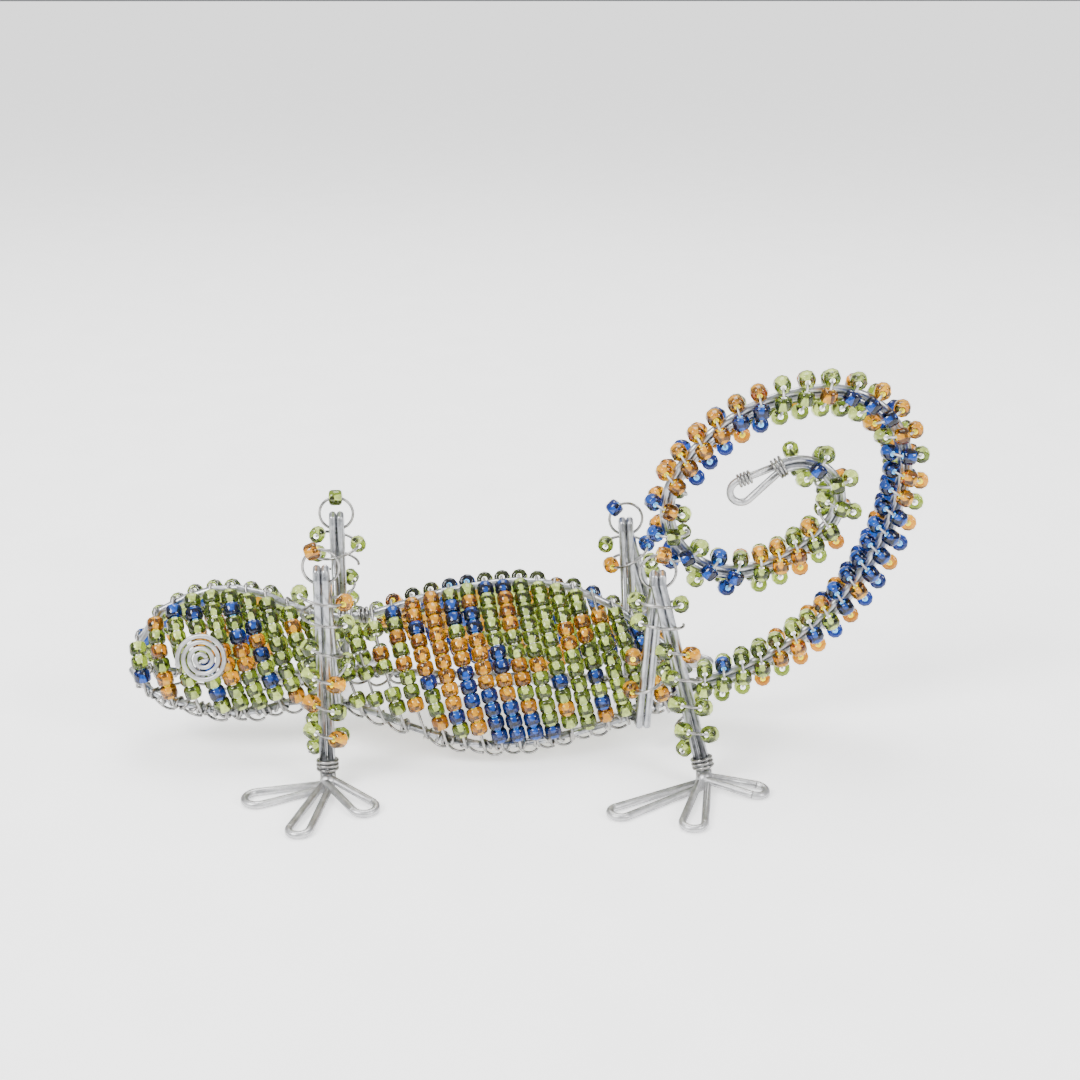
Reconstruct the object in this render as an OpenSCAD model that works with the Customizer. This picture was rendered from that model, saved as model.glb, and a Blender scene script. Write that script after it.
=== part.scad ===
// Chameleon figure of galvanised wire and glass beads.
// It faces -X, stands on Z = 0 and its mid-plane is Y = 0. Its left side is -Y.

/* [Body frame] */
// Distance from the snout to the root of the tail
frame_length = 100; // [85:1:120]
// Height of the back above the table
back_height = 29; // [26:0.5:34]
// Distance between the two belly rails where the belly is widest
belly_width = 28; // [23:0.1:34]
// Diameter of the galvanised frame wire
frame_wire_d = 1.3; // [1.1:0.05:1.35]
// Diameter of the thin binding wire
thin_wire_d = 0.5; // [0.4:0.05:0.6]

/* [Beads] */
// Diameter of a glass bead
bead_d = 2.9; // [2.5:0.05:2.95]
// Length of a glass bead along its hole
bead_length = 2.2; // [1.8:0.05:2.3]
// Diameter of the hole through a bead
bead_bore = 1.15; // [1.05:0.05:1.3]
// Distance between two strands, square to them
strand_pitch = 3; // [3:0.01:3.6]
// Distance between two beads along a strand
bead_pitch = 2.4; // [2.4:0.05:3]
// How far a side strand bulges outward, as a share of its length
strand_bulge = 0.15; // [0.12:0.01:0.18]
// How much further back a strand meets the belly rail than it leaves the back
strand_lean = 5.5; // [4:0.5:6]

/* [Tail] */
// Size of the tail coil compared with the standard coil
coil_scale = 1; // [0.9:0.01:1.25]
// Heading of the tail where it leaves the body, in degrees above the table
tail_heading = 12; // [8:1:18]
// Distance from the middle of the tail to the middle of its beads
winding_radius = 2.8; // [2.75:0.05:3.1]
// Smallest distance between two turns of the bead winding
winding_pitch = 3.5; // [3.3:0.1:4.5]

/* [Legs] */
// Height of the front knees
front_knee_height = 37; // [33:0.5:42]
// Height of the rear knees
rear_knee_height = 35; // [31:0.5:40]
// Distance of a knee from the mid-plane
knee_reach = 13.5; // [12.5:0.5:17]
// Distance of a front ankle from the mid-plane
front_ankle_reach = 19.5; // [18:0.5:26]
// Distance of a rear ankle from the mid-plane
rear_ankle_reach = 22; // [20:0.5:28]
// Radius of the thin wire loop over each knee
knee_loop_radius = 3; // [2.8:0.1:3.4]

/* [Eyes] */
// Number of half turns in each eye spiral
eye_half_turns = 8; // [6:1:9]
// Diameter of the wire of the eye spirals
eye_wire_d = 0.8; // [0.6:0.05:0.9]
// Distance between two turns of an eye spiral
eye_pitch = 1.02; // [0.95:0.01:1.1]

/* [Hidden] */
$fn = 24;

galvanised = [0.62, 0.64, 0.66];
bright_wire = [0.78, 0.79, 0.8];
glass_green = [0.48, 0.56, 0.1];
glass_amber = [0.93, 0.5, 0.06];
glass_blue = [0.05, 0.13, 0.55];

frame_r = frame_wire_d / 2;
thin_r = thin_wire_d / 2;
joint_swell = 0.02;
joint_trim = 0.05;
wire_gap = 0.08;
wrap_r = frame_r + thin_r + wire_gap;
snout_x = -69.3;
tail_root_x = snout_x + frame_length;
half_belly = belly_width / 2;

// The back wire as [share of the length, share of the height].
back_shape = [
    [0, 0.5], [0.02, 0.71], [0.06, 0.86], [0.13, 0.97], [0.19, 0.99], [0.25, 0.93],
    [0.3, 0.83], [0.35, 0.78], [0.4, 0.78], [0.46, 0.84], [0.54, 0.93], [0.62, 0.98],
    [0.7, 1], [0.78, 0.94], [0.86, 0.8], [0.93, 0.6], [1, 0.33]
];
// The belly rails as [share of the length, share of the half width] and [.., share of the height].
rail_width_shape = [
    [0, 0], [0.01, 0.16], [0.03, 0.29], [0.07, 0.4], [0.12, 0.47], [0.18, 0.5], [0.23, 0.48],
    [0.28, 0.41], [0.33, 0.39], [0.38, 0.45], [0.43, 0.6], [0.49, 0.79], [0.55, 0.93],
    [0.62, 1], [0.69, 0.97], [0.76, 0.85], [0.83, 0.67], [0.89, 0.5], [0.95, 0.29], [1, 0.06]
];
rail_height_shape = [
    [0, 0.46], [0.01, 0.44], [0.03, 0.4], [0.07, 0.357], [0.12, 0.312], [0.18, 0.282],
    [0.23, 0.282], [0.28, 0.325], [0.33, 0.333], [0.38, 0.313], [0.43, 0.28], [0.49, 0.228],
    [0.55, 0.178], [0.62, 0.143], [0.69, 0.145], [0.76, 0.163], [0.83, 0.19], [0.89, 0.212],
    [0.95, 0.245], [1, 0.285]
];
smoothing = 0.012;

// ---------- vectors and placing ----------
function unit(v) = v / norm(v);
function mix(a, b, t) = a + (b - a) * t;
function flat(lists) = [for (l = lists) for (v = l) v];
// The transform that puts the X, Y and Z axes along x, y and z, with the origin at o.
function frame(o, x, y, z) = [
    [x[0], y[0], z[0], o[0]],
    [x[1], y[1], z[1], o[1]],
    [x[2], y[2], z[2], o[2]],
    [0, 0, 0, 1]
];
function across(v) = unit(abs(v[1]) < 0.7 ? cross([0, 1, 0], v) : cross([1, 0, 0], v));
function along(o, v) = let (z = unit(v), x = across(z)) frame(o, x, cross(z, x), z);

// ---------- wire ----------
module rod(a, b, r) {
    multmatrix(along(a, b - a)) cylinder(r = r, h = norm(b - a));
}

module ball(p, r) {
    translate(p) sphere(r = r);
}

// A wire through a list of points. Its rods stop just short of the round joints' middles.
module wire(points, r) {
    for (i = [0 : len(points) - 2]) {
        step = joint_trim * unit(points[i + 1] - points[i]);
        rod(points[i] + step, points[i + 1] - step, r);
    }
    for (i = [1 : len(points) - 2]) ball(points[i], r + joint_swell);
}

// An arc of wire round centre c, from the direction x towards the direction y, that
// stops just short of both its ends.
module arc_wire(c, x, y, radius, from, to, r) {
    trim = joint_trim / radius * 180 / PI;
    multmatrix(frame(c, x, y, cross(x, y)))
        rotate([0, 0, from + trim])
            rotate_extrude(angle = to - from - 2 * trim, $fn = 48)
                translate([radius, 0]) circle(r = r);
}

// A closed ring of wire round the point c, square to the direction v.
module ring(c, v, radius, r) {
    multmatrix(along(c, v))
        rotate_extrude($fn = 32)
            translate([radius, 0]) circle(r = r);
}

// ---------- beads ----------
// A bead is [middle, direction of its hole, colour letter].
module bead() {
    rotate_extrude($fn = 24) polygon([
        [bead_bore / 2, -bead_length * 0.45],
        [bead_d * 0.38, -bead_length / 2],
        [bead_d / 2, -bead_length * 0.23],
        [bead_d / 2, bead_length * 0.23],
        [bead_d * 0.38, bead_length / 2],
        [bead_bore / 2, bead_length * 0.45]
    ]);
}

module beads_of(list, letter) {
    for (b = list)
        if (b[2] == letter)
            multmatrix(along(b[0], b[1])) bead();
}

// ---------- body frame ----------
function share(x) = (x - snout_x) / frame_length;
function eased(f, shape) =
    (lookup(f - smoothing, shape) + lookup(f, shape) + lookup(f + smoothing, shape)) / 3;
rail_steps = 20;
back_steps = 22;
back_start = snout_x + 1.6;
back_end = tail_root_x - 1;
function rail_x(i) = snout_x + frame_length * pow(i / rail_steps, 1.4);
function table(xs, height, shape) = [for (x = xs) [x, height * eased(share(x), shape)]];
back_table = table([for (i = [0 : back_steps]) mix(back_start, back_end, i / back_steps)], back_height, back_shape);
rail_xs = [for (i = [0 : rail_steps]) rail_x(i)];
rail_widths = table(rail_xs, half_belly, rail_width_shape);
rail_heights = table(rail_xs, back_height, rail_height_shape);

// The back wire and the belly rails are straight between the points of these tables.
function back_at(x) = [x, 0, lookup(x, back_table)];
function rail_at(x, side) = [x, side * lookup(x, rail_widths), lookup(x, rail_heights)];

rail_points = [for (i = [1 : rail_steps]) rail_at(rail_xs[i], -1)];
snout = [snout_x, 0, back_height * 0.46];

module rail_wire() {
    wire(concat([snout], rail_points), frame_r);
}

module belly_rails() {
    color(galvanised) {
        rail_wire();
        mirror([0, 1, 0]) rail_wire();
        ball(snout, frame_r + joint_swell);
    }
}

back_points = [for (p = back_table) back_at(p[0])];

module back_wire() {
    color(galvanised) wire(back_points, frame_r);
}

// ---------- strands ----------
// Colour letters of each strand from the back down: g green, a amber, b blue, - bare wire.
head_charts = [
    "ggbg", "agagaa", "bgggggg", "gbgagbgbg", "ggggaaagg", "gbgbaaggg",
    "ggbabgbga", "gggggggag", "gaggggggg", "gggggaggg"
];
neck_charts = ["-g-gg-g", "-gg-g-g", "-g-ag-gg"];
body_charts = [
    "bgagagga", "aabaaabgga", "aaaaaaaaabg", "gbbgaabbbaab", "gabbaaaabbbb", "bggggbbaabbb",
    "baaaggaagabb", "ggggggaggggb", "gggggggbgagg", "gggaagggggga", "ggaaggbgbaab",
    "-agggggggbgg", "ggggggggggga", "bbagaabbgggb", "gagbgggggaag"
];
strand_charts = concat(head_charts, neck_charts, body_charts);
head_count = len(head_charts);
neck_count = len(neck_charts);
strand_count = len(strand_charts);
first_top = snout_x + 1.8;

// How far behind its top a strand meets the belly rail; short strands lean less.
function side_drop(x) = back_at(x)[2] - rail_at(x, 1)[2];
function lean_at(x) = strand_lean * min(1, 0.25 + (x - first_top) * 0.08, 0.3 + side_drop(x) * 0.045);
function strand_foot(x, side) = rail_at(x + lean_at(x), side);
// Where the strands leave the back: further apart where the back or the rail slopes
// down along them.
function back_slope(x) = back_at(x - 0.5)[2] - back_at(x + 0.5)[2];
function rail_slope(x) = rail_at(x - 0.5, 1)[2] - rail_at(x + 0.5, 1)[2];
function spread_at(x) =
    (side_drop(x) - max(back_slope(x), rail_slope(x + lean_at(x))) * lean_at(x))
    / norm([side_drop(x), lean_at(x)]);
function tops_from(x, count) =
    count == 0 ? [] : concat([x], tops_from(x + strand_pitch / spread_at(x), count - 1));
strand_tops = tops_from(first_top, strand_count);

// A side strand is the arc [centre, outward, downward, radius, half angle, radius of its
// wraps, bare length at the back, bare length at the rail]. It leaves the wrap on the
// back wire and joins the wrap on the rail without a kink. A short strand bulges less,
// and one that crosses a wire at a slant wraps it more widely.
least_squareness = 0.42;
bead_clear = frame_r + 0.08;
bead_slant = 1.2;
function bulge_at(span) = strand_bulge * min(1, 0.3 + span * 0.04);
function strand_arc(x, side) =
    let (
        back = back_at(x),
        rail = strand_foot(x, side),
        down = unit(rail - back),
        out = unit([0, side, 0] - side * down[1] * down),
        span = norm(rail - back),
        rise = bulge_at(span) * span,
        inner = (span * span / 4 + rise * rise) / (2 * rise),
        half = asin(span / 2 / inner),
        top = cos(half) * out - sin(half) * down,
        up = unit([top[0], 0, top[2]]),
        back_run = unit(back_at(x + 0.5) - back_at(x - 0.5)),
        rail_run = unit(strand_foot(x + 0.5, side) - strand_foot(x - 0.5, side)),
        squareness = min(norm(cross(up, back_run)), abs(cross(out, down) * rail_run)),
        wrap = wrap_r / max(least_squareness, squareness),
        top_run = cos(half) * down + sin(half) * out,
        foot_run = cos(half) * down - sin(half) * out
    )
    [
        (back + rail) / 2 - (inner - rise) * out, out, down, inner + wrap, half, wrap,
        bead_clear + bead_slant * abs(top_run * back_run),
        bead_clear + bead_slant * abs(foot_run * rail_run)
    ];

function strand_beads(x, side, chart) =
    let (
        s = strand_arc(x, side),
        length = 2 * s[4] * PI / 180 * s[3],
        room = length - s[6] - s[7] - bead_length,
        count = min(len(chart), floor(room / bead_pitch) + 1),
        first = s[6] + bead_length / 2 + max(0, room - (count - 1) * bead_pitch) * 0.2
    )
    [
        for (i = [0 : count - 1])
            let (a = (first + i * bead_pitch) / s[3] * 180 / PI - s[4])
            [s[0] + s[3] * (cos(a) * s[1] + sin(a) * s[2]), cos(a) * s[2] - sin(a) * s[1], chart[i]]
    ];

function on_neck(i) = i >= head_count && i < head_count + neck_count;
function strand_group(first, last) = flat([
    for (i = [first : last], side = [-1, 1])
        strand_beads(strand_tops[i], side, strand_charts[side < 0 || on_neck(i) ? i : (i + 2) % strand_count])
]);
head_last = head_count + neck_count - 1;
head_beads = strand_group(0, head_last);
body_beads = strand_group(head_last + 1, strand_count - 1);

// The thin wire of one strand: over the back wire, down each side and round each rail.
rail_wrap_turn = 188;
module strand_wire(x) {
    left = strand_arc(x, -1);
    top = cos(left[4]) * left[1] - sin(left[4]) * left[2];
    up = unit([top[0], 0, top[2]]);
    spread = acos(top * up);
    arc_wire(back_at(x), up, [0, 1, 0], left[5], -spread, spread, thin_r);
    for (side = [-1, 1]) {
        s = strand_arc(x, side);
        a = cos(s[4]) * s[1] - sin(s[4]) * s[2];
        b = cos(s[4]) * s[1] + sin(s[4]) * s[2];
        arc_wire(s[0], s[1], s[2], s[3], -s[4], s[4], thin_r);
        arc_wire(strand_foot(x, side), b, wrap_tangent(s), s[5], 0, rail_wrap_turn, thin_r);
        ball(s[0] + s[3] * a, thin_r + joint_swell);
        ball(s[0] + s[3] * b, thin_r + joint_swell);
    }
}
function wrap_tangent(s) = cos(s[4]) * s[2] - sin(s[4]) * s[1];
// Where the wrap of a strand round its rail ends.
function wrap_end(x, side) =
    let (s = strand_arc(x, side), b = cos(s[4]) * s[1] + sin(s[4]) * s[2])
    strand_foot(x, side) + s[5] * (cos(rail_wrap_turn) * b + sin(rail_wrap_turn) * wrap_tangent(s));

// The slack that hangs under a belly rail between one strand and the next.
slack_depths = [1.7, 1.2, 1.5, 1, 1.6, 1.3];
module slack_wire(x, next_x, side, depth) {
    a = wrap_end(x, side);
    b = strand_foot(next_x, side) - [0.1, 0, wrap_r + 2 * thin_r + 0.1];
    chord = norm(b - a);
    level = unit(a - b);
    down = unit([0, 0, -1] + level[2] * level);
    radius = (chord * chord / 4 + depth * depth) / (2 * depth);
    half = asin(min(1, chord / 2 / radius));
    arc_wire((a + b) / 2 - (radius - depth) * down, down, level, radius, -half, half, thin_r);
    ball(a, thin_r + joint_swell);
}

// A leg hooks onto its rail between the strand with this number and the next one.
front_hip_strand = 8;
rear_hip_strand = 24;
function hip_x(i) = (strand_foot(strand_tops[i], 1)[0] + strand_foot(strand_tops[i + 1], 1)[0]) / 2;

module strand_wires(first, last) {
    for (i = [first : last]) strand_wire(strand_tops[i]);
    for (i = [first : last - 1], side = [-1, 1])
        if (i != front_hip_strand && i != rear_hip_strand)
            slack_wire(
                strand_tops[i],
                strand_tops[i + 1],
                side,
                slack_depths[(i + side + 1) % len(slack_depths)]
            );
}

module head_strand_wires() { color(bright_wire) strand_wires(0, head_last); }
module body_strand_wires() { color(bright_wire) strand_wires(head_last + 1, strand_count - 1); }

// Spare turns of thin wire gathered round the back wire at the neck.
neck_turns = 3;
module neck_wire_bundle() {
    color(galvanised)
        for (i = [head_count : head_last - 1], k = [0 : neck_turns - 1]) {
            x = mix(strand_tops[i], strand_tops[i + 1], 0.35 + k * 0.15);
            ring(back_at(x), [1, 0.12 * k - 0.1, 0.15 - 0.1 * k], wrap_r + 0.1 + 0.08 * k, thin_r);
        }
}

module head_green_beads() { color(glass_green) beads_of(head_beads, "g"); }
module head_amber_beads() { color(glass_amber) beads_of(head_beads, "a"); }
module head_blue_beads() { color(glass_blue) beads_of(head_beads, "b"); }
module body_green_beads() { color(glass_green) beads_of(body_beads, "g"); }
module body_amber_beads() { color(glass_amber) beads_of(body_beads, "a"); }
module body_blue_beads() { color(glass_blue) beads_of(body_beads, "b"); }

// ---------- eyes ----------
eye_place = 0.1;
eye_drop = 1;
eye_r = eye_wire_d / 2;
eye_start_radius = 0.45;

// A flat spiral of half circles lying on the side of the head.
module eye_spiral(side) {
    s = strand_arc(mix(strand_tops[3], strand_tops[4], eye_place), side);
    out = cos(eye_drop) * s[1] + sin(eye_drop) * s[2];
    down = cos(eye_drop) * s[2] - sin(eye_drop) * s[1];
    forward = cross(out, down);
    middle = s[0] + (s[3] + bead_d / 2 + eye_r + 0.05) * out;
    for (k = [0 : eye_half_turns - 1]) {
        shift = k % 2 == 0 ? 0 : -eye_pitch / 2;
        radius = eye_start_radius + k * eye_pitch / 2;
        turn = k % 2 == 0 ? 0 : 180;
        arc_wire(middle + shift * forward, forward, down, radius, turn, turn + 180, eye_r);
        if (k > 0) ball(middle + (shift + (turn == 0 ? radius : -radius)) * forward, eye_r + joint_swell);
    }
}

module left_eye_spiral() { color(bright_wire) eye_spiral(-1); }
module right_eye_spiral() { color(bright_wire) eye_spiral(1); }

// ---------- tail ----------
// The tail follows these arcs in the mid-plane, each [radius, sweep in degrees].
tail_arcs = [[44, 72], [14, 96], [29.5, 60], [11.5, 70], [12.5, 66], [28, 29], [7.2, 168]];
tail_root = [tail_root_x + 0.3, 0, back_height * 0.285];
core_half_gap = frame_r + 0.01;

// The heading and the first point of each arc, and after the last one its end.
function tail_turned(i) = i == 0 ? tail_heading : tail_turned(i - 1) + tail_arcs[i - 1][1];
function outward_at(heading) = [sin(heading), 0, -cos(heading)];
function arc_size(i) = coil_scale * tail_arcs[i][0];
function tail_point(i) = i == 0 ? tail_root : tail_centre(i - 1) + arc_size(i - 1) * outward_at(tail_turned(i));
function tail_centre(i) = tail_point(i) - arc_size(i) * outward_at(tail_turned(i));

module tail_core_wire() {
    color(galvanised)
        for (i = [0 : len(tail_arcs) - 1], offset = [-core_half_gap, core_half_gap]) {
            from = tail_turned(i);
            to = tail_turned(i + 1);
            radius = arc_size(i) + offset;
            arc_wire(tail_centre(i), [1, 0, 0], [0, 0, 1], radius, from - 90, to - 90, frame_r);
            if (i > 0) ball(tail_centre(i) + radius * outward_at(from), frame_r + joint_swell);
        }
}

// A flat teardrop loop of wire from o, pointing along x, with y across it.
module teardrop(o, x, y, length, tip_radius, half_gap, r) {
    reach = length - tip_radius;
    span = norm([reach, half_gap]);
    turn = atan2(half_gap, -reach) - acos(tip_radius / span);
    tip = o + reach * x;
    for (s = [-1, 1]) {
        touch = tip + tip_radius * (cos(turn) * x + s * sin(turn) * y);
        rod(o + s * half_gap * y, touch - joint_trim * unit(touch - o), r);
        ball(touch, r + joint_swell);
    }
    arc_wire(tip, x, y, tip_radius, -turn, turn, r);
}

tip_heading = tail_turned(len(tail_arcs));
tail_tip = tail_point(len(tail_arcs));
tip_x = [cos(tip_heading), 0, sin(tip_heading)];
tip_y = -outward_at(tip_heading);
tip_length = 9;
tip_radius = 2;

module tail_tip_loop() {
    color(bright_wire)
        teardrop(tail_tip + 0.1 * tip_x, tip_x, tip_y, tip_length, tip_radius, core_half_gap, frame_r);
}

bound_r = frame_r + core_half_gap + thin_r + wire_gap;
tip_wraps = 3;
module tail_tip_binding() {
    color(galvanised) {
        for (i = [0 : tip_wraps - 1])
            ring(tail_tip + (i * 0.62 - 1.2) * tip_x, tip_x + 0.08 * (i - 1) * tip_y, bound_r + 0.05, thin_r);
        for (i = [0 : tip_wraps])
            ring(
                tail_tip + (4.6 + i * 0.62) * tip_x - (1.48 + 0.12 * i) * tip_y,
                tip_x - 0.2 * tip_y,
                wrap_r + 0.02,
                thin_r
            );
    }
}

// The bead winding is a chain of half circles, from the outside of the coil through
// the left side to its inside and back through the right side. Tight arcs carry
// fewer beads on the inside.
tight_radius = 12;
beside = bead_d + 0.1;
function crowding(i) = 1 - (arc_size(i) > tight_radius ? 0.95 : 0.6) * winding_radius / arc_size(i);
// The last arc is left bare at its end, where the tip is bound on.
function wound_sweep(i) = tail_arcs[i][1] * (i == len(tail_arcs) - 1 ? 0.86 : 1);
function arc_length(i) = arc_size(i) * wound_sweep(i) * PI / 180;
function arc_turns(i) = floor(arc_length(i) / max(winding_pitch, beside / crowding(i)));
function turns_before(i) = i == 0 ? 0 : turns_before(i - 1) + arc_turns(i - 1);
function winding_point(i, half) =
    let (
        heading = tail_turned(i) + wound_sweep(i) * half / (2 * arc_turns(i)),
        reach = arc_size(i) + (half % 2 == 0 ? 1 : -1) * winding_radius
    )
    tail_centre(i) + reach * outward_at(heading);
function next_point(i, half) =
    half + 1 < 2 * arc_turns(i) || i + 1 == len(tail_arcs)
        ? winding_point(i, half + 1)
        : winding_point(i + 1, 0);
// One half turn as [middle, direction to its start, direction it bulges, radius].
function half_turn(a, b, bulge) = [(a + b) / 2, unit(a - b), bulge, norm(a - b) / 2];
function tail_half(i, half) =
    half_turn(winding_point(i, half), next_point(i, half), [0, half % 2 == 0 ? -1 : 1, 0]);
tail_halves = flat([
    for (i = [0 : len(tail_arcs) - 1])
        [for (half = [0 : 2 * arc_turns(i) - 1]) concat(tail_half(i, half), [i, turns_before(i)])]
]);

module half_turn_wire(h) {
    arc_wire(h[0], h[1], h[2], h[3], 0, 180, thin_r);
    ball(h[0] + h[3] * h[1], thin_r + joint_swell);
}
function bead_on(h, angle, colour) = [
    h[0] + h[3] * (cos(angle) * h[1] + sin(angle) * h[2]),
    cos(angle) * h[2] - sin(angle) * h[1],
    colour
];

module tail_winding_wire() {
    color(bright_wire) for (h = tail_halves) half_turn_wire(h);
}

// Five letters a turn, from the root to the tip: outside, left, inside, then two on the right.
tail_chart = [
    "ggggg", "ggbgg", "ggggg", "agggg", "gagag", "aaggg", "abgaa", "bgaba", "abbab", "babbg",
    "bbbba", "abbbb", "bbbab", "abbbg", "gabbb", "aabga", "gbbag", "aagbb", "ababg", "abgaa",
    "gbgag", "gagga", "gggag", "gggga", "abbgg", "abaab", "aabaa", "aabab", "aabaa", "aabga",
    "bagba", "bgggb", "bbggg", "gbbgg", "bbgag", "ggagg", "gaaga", "aagga", "ggagg", "agaga",
    "gggga", "ggagg", "gbggg", "aaggb", "abaga", "ggagg", "gagag", "aggga", "aabgg", "bggag",
    "ggagg", "ggggg", "ggggg"
];
left_angles = [18, 90, 162];
right_angles = [54, 126];
tail_beads = flat([
    for (n = [0 : len(tail_halves) - 1])
        let (
            h = tail_halves[n],
            turn = floor(n / 2),
            left = n % 2 == 0,
            angles = left ? left_angles : right_angles,
            chart = tail_chart[turn % len(tail_chart)],
            tight = arc_size(h[4]) <= tight_radius
        )
        [
            for (k = [0 : len(angles) - 1])
                if (!(tight && left && k == 2 && turn % 2 == 1))
                    bead_on(h, angles[k], chart[left ? k : k + 3])
        ]
]);

module tail_green_beads() { color(glass_green) beads_of(tail_beads, "g"); }
module tail_amber_beads() { color(glass_amber) beads_of(tail_beads, "a"); }
module tail_blue_beads() { color(glass_blue) beads_of(tail_beads, "b"); }

// ---------- legs ----------
wire_offset = frame_r + 0.03;
hook_r = 2 * frame_r + 0.3;
front_hip_x = hip_x(front_hip_strand);
rear_hip_x = hip_x(rear_hip_strand);
ankle_z = 3;

// A leg is [side, middle of the hip, knee, ankle]; the rear knees are not quite opposite.
function hip_at(x, side) = rail_at(x, side) + [wire_offset, side * 3.5, -0.6];
function leg(x, side, knee_x, knee_z, ankle_x, ankle_y) = [
    side, hip_at(x, side), [knee_x, side * knee_reach, knee_z], [ankle_x, side * ankle_y, ankle_z]
];
front_left = leg(front_hip_x, -1, -34, front_knee_height, -34, front_ankle_reach);
front_right = leg(front_hip_x, 1, -33.5, front_knee_height, -34.5, front_ankle_reach);
rear_left = leg(rear_hip_x, -1, 21.5, rear_knee_height, 29, rear_ankle_reach);
rear_right = leg(rear_hip_x, 1, 19, rear_knee_height, 28, rear_ankle_reach);

// Two wires side by side from the hip over a hairpin knee to the ankle.
knee_bend = [[-0.95, -1.7], [-0.62, -0.45], [0, 0], [0.62, -0.45], [0.95, -1.7]];
module leg_wire(l, rail_x) {
    rail = rail_at(rail_x, l[0]);
    bend = [for (p = knee_bend) l[2] + [0, l[0] * p[0], p[1]]];
    hook_start = rail + hook_r * [0, l[0] * cos(20), -sin(20)];
    color(galvanised) {
        for (s = [-1, 1]) {
            shift = [s * wire_offset, 0, 0];
            wire([for (p = concat([l[1]], bend, [l[3]])) p + shift], frame_r);
            ball(l[1] + shift, frame_r + joint_swell);
        }
        rod(hook_start, l[1] - [wire_offset, 0, 0], frame_r);
        ball(hook_start, frame_r + joint_swell);
        arc_wire(rail, [0, l[0], 0], [0, 0, -1], hook_r, 20, 200, frame_r);
    }
}

module front_left_leg_wire() { leg_wire(front_left, front_hip_x); }
module front_right_leg_wire() { leg_wire(front_right, front_hip_x); }
module rear_left_leg_wire() { leg_wire(rear_left, rear_hip_x); }
module rear_right_leg_wire() { leg_wire(rear_right, rear_hip_x); }

// The toes of a foot as [direction in degrees, length, tip radius]; 0 points along +X
// and 90 points away from the body. Each toe starts higher than the one before it and
// slopes down until its tip lies on the table.
front_toes = [[162, 14, 2.2], [104, 16, 1.7], [50, 12, 2]];
rear_toes = [[150, 19, 1.7], [106, 15, 1.8], [20, 10.5, 1.8]];
toe_rise = 0.55;
knuckle_r = 1.4;
// Turns the poles of a mirrored knuckle ball clear of its wires.
mirrored_ball_turn = 50;

// A left foot below an ankle over the origin; a right foot is its mirror image.
module foot_shape(toes, ball_turn) {
    hub = [0, -0.8, frame_r];
    for (i = [0 : len(toes) - 1]) {
        t = toes[i];
        drop = asin(i * toe_rise / t[1]);
        x = [cos(drop) * cos(t[0]), -cos(drop) * sin(t[0]), -sin(drop)];
        y = unit([-x[1], x[0], 0]);
        teardrop(hub + [0, 0, i * toe_rise], x, y, t[1], t[2], core_half_gap, frame_r);
    }
    for (s = [-1, 1]) {
        shift = [s * wire_offset, 0, 0];
        rod(hub + [0, 0, toe_rise] + shift, [0, 0, ankle_z - 0.1] + shift, frame_r);
    }
    translate(hub + [0, 0, knuckle_r - frame_r + 0.1]) rotate([ball_turn, 0, 0]) sphere(r = knuckle_r);
}

module foot(l, toes) {
    color(bright_wire)
        translate([l[3][0], l[3][1], 0])
            if (l[0] > 0) mirror([0, 1, 0]) foot_shape(toes, mirrored_ball_turn);
            else foot_shape(toes, 0);
}

module front_left_foot() { foot(front_left, front_toes); }
module front_right_foot() { foot(front_right, front_toes); }
module rear_left_foot() { foot(rear_left, rear_toes); }
module rear_right_foot() { foot(rear_right, rear_toes); }

// A stretch of winding round a straight line, as half turns.
function stretch_halves(a, b, side, count, radius) =
    let (run = unit(b - a), x = unit([1, 0, 0] - run[0] * run), out = cross(x, run))
    [
        for (k = [0 : count - 1])
            let (
                p = mix(a, b, k / count) + (k % 2 == 0 ? -1 : 1) * radius * x,
                q = mix(a, b, (k + 1) / count) + (k % 2 == 0 ? 1 : -1) * radius * x,
                bulge = (k % 2 == 0 ? 1 : -1) * (out[1] * side > 0 ? out : -out)
            )
            half_turn(p, q, bulge)
    ];
function stretch_beads(halves, angles, chart) = flat([
    for (k = [0 : len(halves) - 1])
        [for (j = [0, 1]) bead_on(halves[k], angles[j], chart[k][j])]
]);

// Each leg has a stretch round both wire pairs under the knee, one down the lower leg
// and a short one on the upper leg. Letters are for each half turn from the top down,
// two a half turn, with the outer half turns first.
knee_charts = [["ga", "--", "-g"], ["gg", "--", "g-"], ["gg", "--", "g-"], ["gb", "-a", "-g"]];
lower_charts = [
    ["g-", "-g", "ga", "--", "ag", "-g", "ga", "gg"],
    ["-g", "--", "ag", "--", "g-", "g-", "gg", "-a"],
    ["ga", "-g", "g-", "--", "gg", "g-", "gg", "-g"],
    ["ag", "--", "g-", "-g", "gb", "--", "gg", "g-"]
];
upper_charts = [["g-", "g-"], ["g-", "-g"], ["a-", "-a"], ["a-", "b-"]];
knee_winding_radius = winding_radius + 0.9;
lower_angles = [45, 135];
edge_angles = [10, 170];
function knee_halves(l, count) =
    let (middle = l[2] - [0, 0, 4], low = mix(mix(l[2], l[3], 0.28), mix(l[2], l[1], 0.34), 0.5))
    stretch_halves(middle, low, l[0], count, knee_winding_radius);
function lower_halves(l, count) =
    stretch_halves(mix(l[2], l[3], 0.36), mix(l[2], l[3], 0.9), l[0], count, winding_radius + 0.14);
function upper_halves(l, count) =
    stretch_halves(mix(l[1], l[2], 0.25), mix(l[1], l[2], 0.45), l[0], count, winding_radius);

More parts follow.
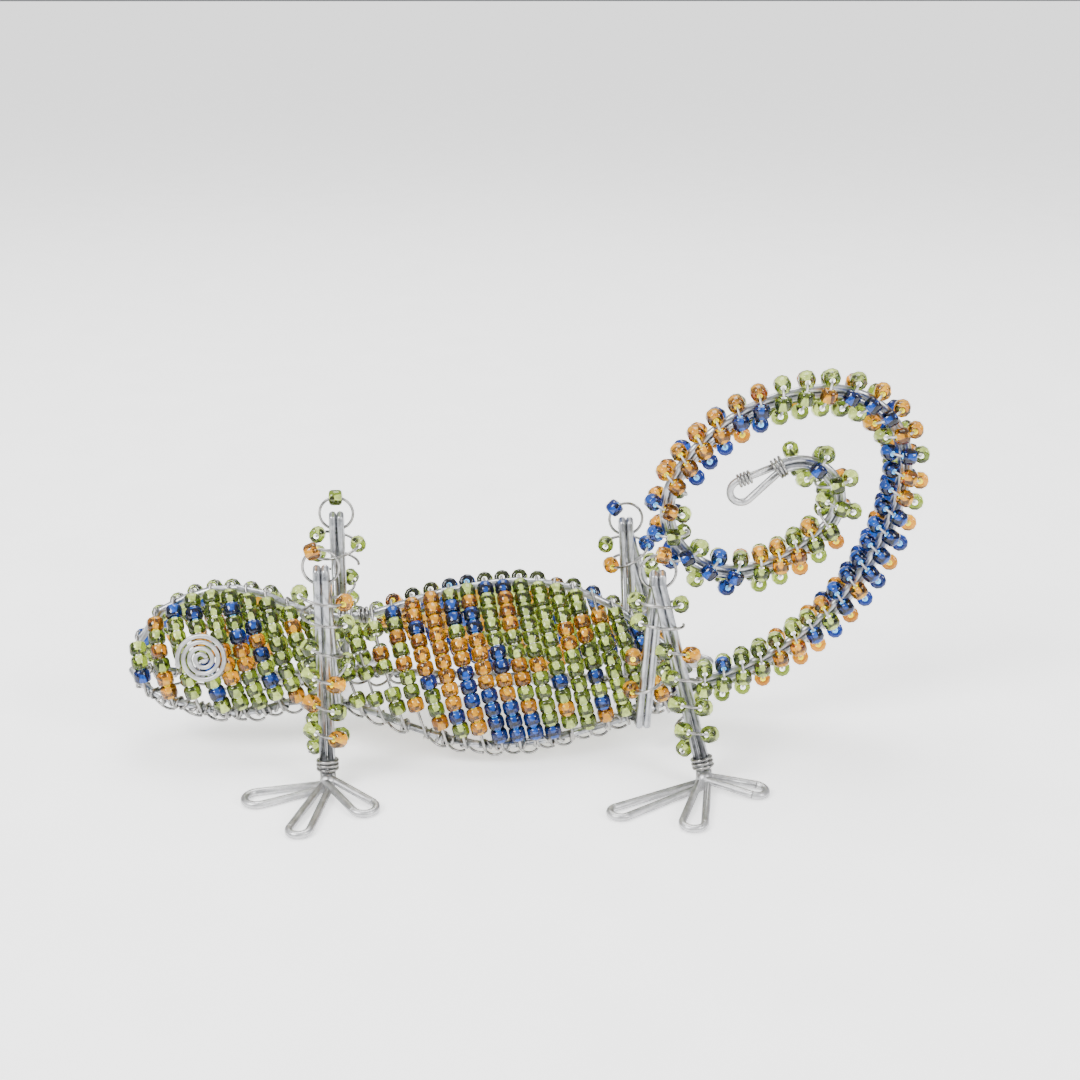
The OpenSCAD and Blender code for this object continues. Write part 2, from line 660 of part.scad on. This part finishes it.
legs = [front_left, front_right, rear_left, rear_right];
leg_beads = flat([
    for (i = [0 : 3])
        let (
            l = legs[i],
            knee = knee_halves(l, len(knee_charts[i])),
            lower = lower_halves(l, len(lower_charts[i])),
            upper = upper_halves(l, len(upper_charts[i]))
        )
        concat(
            stretch_beads(knee, edge_angles, knee_charts[i]),
            stretch_beads(lower, lower_angles, lower_charts[i]),
            stretch_beads(upper, edge_angles, upper_charts[i])
        )
]);

module leg_green_beads() { color(glass_green) beads_of(leg_beads, "g"); }
module leg_amber_beads() { color(glass_amber) beads_of(leg_beads, "a"); }
module leg_blue_beads() { color(glass_blue) beads_of(leg_beads, "b"); }

function knee_loop_centre(l) = l[2] + [0, 0, 0.3];
ankle_wraps = 3;
module leg_winding(i) {
    l = legs[i];
    color(galvanised) {
        for (h = knee_halves(l, len(knee_charts[i]))) half_turn_wire(h);
        for (h = lower_halves(l, len(lower_charts[i]))) half_turn_wire(h);
        for (h = upper_halves(l, len(upper_charts[i]))) half_turn_wire(h);
        for (k = [0 : ankle_wraps - 1])
            ring(mix(l[3], l[2], 0.015 + k * 0.02), l[2] - l[3], bound_r + 0.02, thin_r);
        ring(knee_loop_centre(l), [0, 1, 0], knee_loop_radius, thin_r);
    }
}

module front_left_leg_winding() { leg_winding(0); }
module front_right_leg_winding() { leg_winding(1); }
module rear_left_leg_winding() { leg_winding(2); }
module rear_right_leg_winding() { leg_winding(3); }

// A loose bead that slides along the wire loop over a knee.
knee_bead_angles = [115, 90, 75, 135];
module knee_bead(i) {
    a = knee_bead_angles[i];
    translate(knee_loop_centre(legs[i]))
        rotate([0, -a, 0])
            translate([knee_loop_radius, 0, 0]) bead();
}

module front_left_knee_bead() { color(glass_amber) knee_bead(0); }
module front_right_knee_bead() { color(glass_green) knee_bead(1); }
module rear_left_knee_bead() { color(glass_amber) knee_bead(2); }
module rear_right_knee_bead() { color(glass_blue) knee_bead(3); }

belly_rails();
back_wire();
head_strand_wires();
body_strand_wires();
neck_wire_bundle();
head_green_beads();
head_amber_beads();
head_blue_beads();
body_green_beads();
body_amber_beads();
body_blue_beads();
left_eye_spiral();
right_eye_spiral();
tail_core_wire();
tail_tip_loop();
tail_tip_binding();
tail_winding_wire();
tail_green_beads();
tail_amber_beads();
tail_blue_beads();
front_left_leg_wire();
front_right_leg_wire();
rear_left_leg_wire();
rear_right_leg_wire();
front_left_foot();
front_right_foot();
rear_left_foot();
rear_right_foot();
front_left_leg_winding();
front_right_leg_winding();
rear_left_leg_winding();
rear_right_leg_winding();
leg_green_beads();
leg_amber_beads();
leg_blue_beads();
front_left_knee_bead();
front_right_knee_bead();
rear_left_knee_bead();
rear_right_knee_bead();
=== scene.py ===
import math
import random

import bpy
import numpy as np
from mathutils import Matrix, Vector


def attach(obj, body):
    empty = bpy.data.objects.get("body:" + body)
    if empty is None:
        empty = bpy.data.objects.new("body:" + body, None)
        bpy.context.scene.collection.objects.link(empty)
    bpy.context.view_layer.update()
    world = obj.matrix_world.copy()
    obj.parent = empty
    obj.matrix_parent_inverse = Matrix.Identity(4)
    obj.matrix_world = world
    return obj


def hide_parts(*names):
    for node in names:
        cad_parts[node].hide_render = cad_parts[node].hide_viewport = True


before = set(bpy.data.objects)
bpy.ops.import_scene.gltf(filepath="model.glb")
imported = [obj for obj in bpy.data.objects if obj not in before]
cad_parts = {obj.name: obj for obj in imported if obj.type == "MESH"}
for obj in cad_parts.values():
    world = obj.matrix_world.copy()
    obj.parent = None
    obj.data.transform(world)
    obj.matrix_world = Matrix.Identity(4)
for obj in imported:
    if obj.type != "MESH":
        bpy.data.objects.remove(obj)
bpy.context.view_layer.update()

random.seed(727)
MM = 0.001

# ---------------------------------------------------------------- camera

LOOK_AT = Vector((0.0026, 0.0, 0.0364))
STANDS_AT = Vector((-0.0102, -0.2440, 0.1253))
camera_data = bpy.data.cameras.new("camera")
camera_data.lens = 50
camera_data.sensor_width = 36
camera_data.clip_start = 0.01
camera = bpy.data.objects.new("camera", camera_data)
camera.location = STANDS_AT
camera.rotation_euler = (LOOK_AT - STANDS_AT).to_track_quat("-Z", "Y").to_euler()
bpy.context.scene.collection.objects.link(camera)
bpy.context.scene.camera = camera


# ---------------------------------------------------------------- shader tools

class Value:
    """A shader socket; sums written with it add Math nodes."""

    def __init__(self, finish, socket):
        self.finish = finish
        self.socket = socket

    def maths(self, operation, first, second):
        return self.finish.node("ShaderNodeMath", {"operation": operation}, {0: first, 1: second})

    def __add__(self, other):
        return self.maths("ADD", self, other)

    __radd__ = __add__

    def __sub__(self, other):
        return self.maths("SUBTRACT", self, other)

    def __rsub__(self, other):
        return self.maths("SUBTRACT", other, self)

    def __mul__(self, other):
        return self.maths("MULTIPLY", self, other)

    __rmul__ = __mul__


class Finish:
    """A material built on one Principled shader."""

    def __init__(self, name):
        self.material = bpy.data.materials.new(name)
        self.material.use_nodes = True
        self.tree = self.material.node_tree
        self.shader = self.tree.nodes["Principled BSDF"]

    def node(self, kind, settings=None, sockets=None, output=0):
        made = self.tree.nodes.new(kind)
        for name, value in (settings or {}).items():
            if name == "stops":
                ramp = made.color_ramp
                while len(ramp.elements) < len(value):
                    ramp.elements.new(1.0)
                for element, (place, colour) in zip(ramp.elements, value):
                    element.position = place
                    element.color = (*colour, 1.0)
            else:
                setattr(made, name, value)
        for name, value in (sockets or {}).items():
            self.join(value, made.inputs[name])
        return Value(self, made.outputs[output])

    def join(self, value, socket):
        if isinstance(value, Value):
            self.tree.links.new(value.socket, socket)
        else:
            socket.default_value = value

    def set(self, **sockets):
        for name, value in sockets.items():
            self.join(value, self.shader.inputs[name.replace("_", " ")])
        return self

    def place(self):
        return self.node("ShaderNodeTexCoord", output="Object")

    def noise(self, scale, detail=2.0, roughness=0.5):
        sockets = {"Vector": self.place(), "Scale": scale, "Detail": detail, "Roughness": roughness}
        return self.node("ShaderNodeTexNoise", sockets=sockets)

    def ramp(self, value, *stops):
        return self.node("ShaderNodeValToRGB", {"stops": stops}, {"Fac": value})

    def bump(self, height, distance, strength=1.0):
        sockets = {"Height": height, "Distance": distance, "Strength": strength}
        return self.node("ShaderNodeBump", sockets=sockets, output="Normal")


# ---------------------------------------------------------------- finishes

def drawn_steel(name, dark, light, rough, streak):
    """Galvanised wire: mottled zinc over fine drawing marks."""
    steel = Finish(name)
    mottle = steel.noise(700.0, 4.0, 0.62)
    grain = steel.noise(5200.0, 3.0, 0.6)
    steel.set(
        Base_Color=steel.ramp(mottle * 0.7 + grain * 0.3, (0.32, dark), (0.68, light)),
        Metallic=1.0,
        Roughness=mottle * 0.22 + rough,
        Normal=steel.bump(grain + mottle * 0.5, streak * MM),
    )
    return steel.material


def bead_glass(name, deep, pale):
    """Transparent coloured glass; each bead has its own depth of colour."""
    glass = Finish(name)
    tone = glass.node("ShaderNodeAttribute", {"attribute_name": "bead_tone"}, output="Fac")
    ripple = glass.noise(900.0, 2.0, 0.5)
    glass.set(
        Base_Color=glass.ramp(tone * 0.75 + ripple * 0.25, (0.1, deep), (0.9, pale)),
        Roughness=ripple * 0.08 + 0.02,
        Normal=glass.bump(ripple, 0.06 * MM, 0.5),
        IOR=1.5,
        Transmission_Weight=1.0,
    )
    return glass.material


def hole_lining(name, dull, bright, painted_glow):
    """The silvered lining of a bead's hole, seen through the glass; it is given a painted glow
    (emission) that stands in for the light it reflects.
    """
    lining = Finish(name)
    flecks = lining.noise(1900.0, 3.0, 0.6)
    colour = lining.ramp(flecks, (0.32, dull), (0.66, bright))
    lining.set(
        Base_Color=colour,
        Metallic=0.3,
        Roughness=flecks * 0.25 + 0.25,
        # Painted glow: the lining emits its own colour, a painted highlight standing in for the light
        # it reflects through the glass.
        Emission_Color=colour,
        Emission_Strength=painted_glow,
    )
    return lining.material


galvanised = drawn_steel("galvanised_wire", (0.24, 0.25, 0.27), (0.58, 0.59, 0.61), 0.20, 0.02)
bright_wire = drawn_steel("bright_wire", (0.34, 0.34, 0.35), (0.62, 0.62, 0.62), 0.30, 0.03)
thin_wire = drawn_steel("thin_wire", (0.12, 0.12, 0.12), (0.50, 0.49, 0.47), 0.18, 0.01)

# The last number of each lining is the strength of its painted glow (emission), a painted highlight.
GLASS = {
    "green": (
        bead_glass("olive_green_glass", (0.055, 0.085, 0.004), (0.17, 0.235, 0.018)),
        hole_lining("olive_green_lining_painted_glow", (0.50, 0.52, 0.45), (1.0, 1.0, 1.0), 3.0),
    ),
    "amber": (
        bead_glass("amber_glass", (0.26, 0.085, 0.0), (0.56, 0.22, 0.0)),
        hole_lining("amber_lining_painted_glow", (0.70, 0.48, 0.0), (1.0, 0.95, 0.0), 1.5),
    ),
    "blue": (
        bead_glass("cobalt_blue_glass", (0.0008, 0.005, 0.05), (0.003, 0.018, 0.15)),
        hole_lining("cobalt_blue_lining_painted_glow", (0.04, 0.22, 0.50), (0.20, 0.65, 1.0), 2.2),
    ),
}


# ---------------------------------------------------------------- making pieces

def pick(*objects):
    """Selects these objects alone, the first one active."""
    bpy.ops.object.select_all(action="DESELECT")
    for piece in objects:
        piece.select_set(True)
    bpy.context.view_layer.objects.active = objects[0]


def edit(piece):
    """Opens a piece in edit mode with nothing selected."""
    pick(piece)
    bpy.ops.object.mode_set(mode="EDIT")
    bpy.ops.mesh.select_mode(type="VERT")
    bpy.ops.mesh.select_all(action="DESELECT")


def leave_edit():
    bpy.ops.object.mode_set(mode="OBJECT")


def choose(piece, test):
    """Selects the vertices of the piece in edit mode whose place passes the test."""
    bpy.ops.object.mode_set(mode="OBJECT")
    for vertex in piece.data.vertices:
        vertex.select = bool(test(vertex.co))
    bpy.ops.object.mode_set(mode="EDIT")


def merged_copy(node, name):
    """A copy of a CAD node with its loose triangles welded."""
    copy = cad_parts[node].copy()
    copy.data = copy.data.copy()
    copy.name = name
    copy.parent = None
    for key in list(copy.keys()):
        del copy[key]
    copy.data.materials.clear()
    bpy.context.scene.collection.objects.link(copy)
    edit(copy)
    bpy.ops.mesh.select_all(action="SELECT")
    bpy.ops.mesh.remove_doubles(threshold=1e-6)
    leave_edit()
    return copy


def settle(piece, node, body="figure"):
    """Lets a piece ride on its body in place of a CAD node."""
    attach(piece, body)
    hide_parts(node)


MOST_FACES = 120000


def wire_piece(node, finish):
    """A length of wire with its facets rounded off; a very long one is thinned."""
    wire = merged_copy(node, node + "_drawn")
    pick(wire)
    if len(wire.data.polygons) > MOST_FACES:
        thinner = wire.modifiers.new("thinner", "DECIMATE")
        thinner.ratio = MOST_FACES / len(wire.data.polygons)
        bpy.ops.object.modifier_apply(modifier=thinner.name)
    bpy.ops.object.shade_smooth_by_angle(angle=math.radians(40))
    wire.data.materials.append(finish)
    settle(wire, node)
    return wire


# ---------------------------------------------------------------- one bead

BEAD_R = 1.49 * MM
BEAD_HALF = 1.19 * MM
HOLE_R = 0.5 * MM
SIDES = 10
# Where the outside of a bead turns in to its end: shares of its radius and half length.
SHOULDERS = ((0.88, 0.88), (0.62, 1.0), (HOLE_R / BEAD_R, 0.9))
STRAIGHT_SHARE = 0.55


def make_bead():
    """A rounded glass ring: a tube whose ends are drawn in to the hole and joined through it."""
    bpy.ops.object.select_all(action="DESELECT")
    bpy.ops.mesh.primitive_cylinder_add(
        vertices=SIDES, radius=BEAD_R, depth=2 * STRAIGHT_SHARE * BEAD_HALF, end_fill_type="NOTHING"
    )
    bead = bpy.context.object
    bead.name = "bead_pattern"
    edit(bead)
    for side in (-1, 1):
        choose(bead, lambda co: co.z * side > 0.5 * BEAD_HALF)
        for radius, height in SHOULDERS:
            bpy.ops.mesh.extrude_region()
            ring = [v.co for v in selected(bead)]
            share = radius * BEAD_R / math.hypot(ring[0].x, ring[0].y)
            bpy.ops.transform.resize(value=(share, share, 1.0))
            bpy.ops.transform.translate(value=(0, 0, side * height * BEAD_HALF - ring[0].z))
    choose(bead, lambda co: math.hypot(co.x, co.y) < 1.1 * HOLE_R)
    bpy.ops.mesh.select_mode(type="EDGE")
    bpy.ops.mesh.bridge_edge_loops()
    bpy.ops.mesh.select_mode(type="VERT")
    bpy.ops.mesh.select_all(action="SELECT")
    bpy.ops.mesh.normals_make_consistent(inside=False)
    leave_edit()
    bpy.ops.object.shade_smooth()
    for face in bead.data.polygons:
        face.material_index = int(math.hypot(face.center.x, face.center.y) < 1.02 * HOLE_R)
    return bead


def selected(piece):
    """The selected vertices of a piece in edit mode."""
    bpy.ops.object.mode_set(mode="OBJECT")
    chosen = [v for v in piece.data.vertices if v.select]
    bpy.ops.object.mode_set(mode="EDIT")
    return chosen


def seats(node):
    """Where each bead of a CAD node sits: its centre and the direction of its hole."""
    solid = merged_copy(node, node + "_seats")
    edit(solid)
    bpy.ops.mesh.select_all(action="SELECT")
    bpy.ops.mesh.separate(type="LOOSE")
    leave_edit()
    found = []
    for part in list(bpy.context.selected_objects):
        co = np.array([v.co for v in part.data.vertices])
        centre = co.mean(0)
        values, axes = np.linalg.eigh(np.cov((co - centre).T))
        odd = 0 if values[1] - values[0] > values[2] - values[1] else 2
        found.append((Vector(centre), Vector(axes[:, odd])))
        bpy.data.objects.remove(part)
    return found


def string_beads(node, colour, pattern, body="figure"):
    """Puts a bead of its own on each seat of a node and joins them into one piece."""
    beads = []
    for centre, hole in seats(node):
        bead = pattern.copy()
        bead.data = pattern.data.copy()
        for finish in GLASS[colour]:
            bead.data.materials.append(finish)
        turn = hole.to_track_quat("Z", "Y").to_matrix().to_4x4()
        spin = Matrix.Rotation(random.uniform(0, math.tau), 4, "Z")
        size = Matrix.Diagonal((*(random.uniform(0.97, 1.0) for _ in range(3)), 1.0))
        bead.data.transform(Matrix.Translation(centre) @ turn @ spin @ size)
        tone = bead.data.attributes.new("bead_tone", "FLOAT", "POINT")
        tone.data.foreach_set("value", [random.random()] * len(bead.data.vertices))
        bpy.context.scene.collection.objects.link(bead)
        beads.append(bead)
    pick(*beads)
    if len(beads) > 1:
        bpy.ops.object.join()
    string = bpy.context.view_layer.objects.active
    string.name = node + "_glass"
    settle(string, node, body)
    return string


pattern = make_bead()
for where in ("head", "body", "tail", "leg"):
    for colour in ("green", "amber", "blue"):
        string_beads(f"{where}_{colour}_beads", colour, pattern)
KNEES = {"front_left": "amber", "front_right": "green", "rear_left": "amber", "rear_right": "blue"}
for leg, colour in KNEES.items():
    string_beads(f"{leg}_knee_bead", colour, pattern, f"{leg}_knee_bead_body")
bpy.data.objects.remove(pattern)

# ---------------------------------------------------------------- loose turns round the rails

TURN_R = 0.98 * MM
THIN_R = 0.25 * MM


def make_turn():
    """One hand-wound turn of thin wire, a little oval and skewed."""
    bpy.ops.object.select_all(action="DESELECT")
    bpy.ops.mesh.primitive_torus_add(
        major_segments=16, minor_segments=6, major_radius=TURN_R, minor_radius=THIN_R
    )
    turn = bpy.context.object
    edit(turn)
    choose(turn, lambda co: co.y < 0)
    bpy.ops.transform.resize(value=(0.92, 1.35, 1.0))
    choose(turn, lambda co: co.x > 0)
    bpy.ops.transform.translate(value=(0, 0, 0.5 * THIN_R))
    leave_edit()
    bpy.ops.object.shade_smooth()
    return turn


def line_of(node, side, pace):
    """Middle points of a wire of the frame on one side, a pace apart along the body."""
    wire = merged_copy(node, node + "_line")
    shelves = {}
    for vertex in wire.data.vertices:
        if vertex.co.y * side > 0.5 * MM:
            shelves.setdefault(round(vertex.co.x / pace), []).append(vertex.co.copy())
    bpy.data.objects.remove(wire)
    return [sum(shelf, Vector()) / len(shelf) for _, shelf in sorted(shelves.items()) if len(shelf) > 7]


def wind_rails(pattern, pace=2.6 * MM):
    """Two or three uneven turns of thin wire at every step along each belly rail."""
    turns = []
    for side in (-1, 1):
        line = line_of("belly_rails", side, pace)
        for start, end in zip(line, line[1:]):
            run = (end - start).normalized()
            for share in (0.2, 0.5, 0.8):
                if random.random() < 0.25:
                    continue
                lean = Vector(random.uniform(-0.55, 0.55) for _ in range(3))
                stand = (run + lean).to_track_quat("Z", "Y").to_matrix().to_4x4()
                spin = Matrix.Rotation(random.uniform(0, math.tau), 4, "Z")
                turn = pattern.copy()
                turn.data = pattern.data.copy()
                turn.data.transform(Matrix.Translation(start.lerp(end, share)) @ stand @ spin)
                turn.data.materials.append(thin_wire)
                bpy.context.scene.collection.objects.link(turn)
                turns.append(turn)
    pick(*turns)
    bpy.ops.object.join()
    wraps = bpy.context.view_layer.objects.active
    wraps.name = "rail_wraps"
    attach(wraps, "figure")


turn_pattern = make_turn()
wind_rails(turn_pattern)
bpy.data.objects.remove(turn_pattern)

# ---------------------------------------------------------------- wires

for node in ("belly_rails", "back_wire", "tail_core_wire"):
    wire_piece(node, galvanised)
for node in ("head_strand_wires", "body_strand_wires", "neck_wire_bundle", "tail_tip_binding"):
    wire_piece(node, thin_wire)
for node in ("left_eye_spiral", "right_eye_spiral", "tail_tip_loop", "tail_winding_wire"):
    wire_piece(node, bright_wire)
for leg in KNEES:
    wire_piece(leg + "_leg_wire", galvanised)
    wire_piece(leg + "_foot", bright_wire)
    wire_piece(leg + "_leg_winding", thin_wire)

# ---------------------------------------------------------------- floor and light

bpy.ops.object.select_all(action="DESELECT")
bpy.ops.mesh.primitive_plane_add(size=60.0, location=(0, 0, 0))
floor = bpy.context.object
floor.name = "floor"
paper = Finish("white_paper")
fibre = paper.noise(60.0, 3.0)
white = paper.ramp(fibre, (0.3, (0.90, 0.90, 0.90)), (0.7, (0.94, 0.94, 0.94)))
paper.set(Base_Color=white, Roughness=0.85, Emission_Color=white, Emission_Strength=1.0)
floor.data.materials.append(paper.material)


def studio_world():
    """Light from all round: bright overhead, dimmer at the height of the eye."""
    world = bpy.data.worlds.new("studio")
    world.use_nodes = True
    nodes, links = world.node_tree.nodes, world.node_tree.links
    towards = nodes.new("ShaderNodeTexCoord")
    split = nodes.new("ShaderNodeSeparateXYZ")
    ramp = nodes.new("ShaderNodeValToRGB")
    ramp.color_ramp.elements[0].color = (0.30, 0.31, 0.33, 1.0)
    ramp.color_ramp.elements[1].color = (1.0, 1.0, 1.0, 1.0)
    ramp.color_ramp.elements[1].position = 0.55
    links.new(towards.outputs["Generated"], split.inputs["Vector"])
    links.new(split.outputs["Z"], ramp.inputs["Fac"])
    links.new(ramp.outputs["Color"], nodes["Background"].inputs["Color"])
    nodes["Background"].inputs["Strength"].default_value = 1.0
    return world


bpy.context.scene.world = studio_world()


def softbox(name, place, size, power):
    """A square lamp turned towards the middle of the figure."""
    data = bpy.data.lights.new(name, "AREA")
    data.energy = power
    data.size = size
    lamp = bpy.data.objects.new(name, data)
    lamp.location = place
    lamp.rotation_euler = (LOOK_AT - Vector(place)).to_track_quat("-Z", "Y").to_euler()
    bpy.context.scene.collection.objects.link(lamp)


softbox("softbox_left", (-0.45, -0.35, 0.55), 0.30, 7.0)
softbox("softbox_right", (0.5, -0.4, 0.4), 0.22, 3.5)
softbox("softbox_top", (0.0, 0.25, 0.7), 0.4, 5.0)
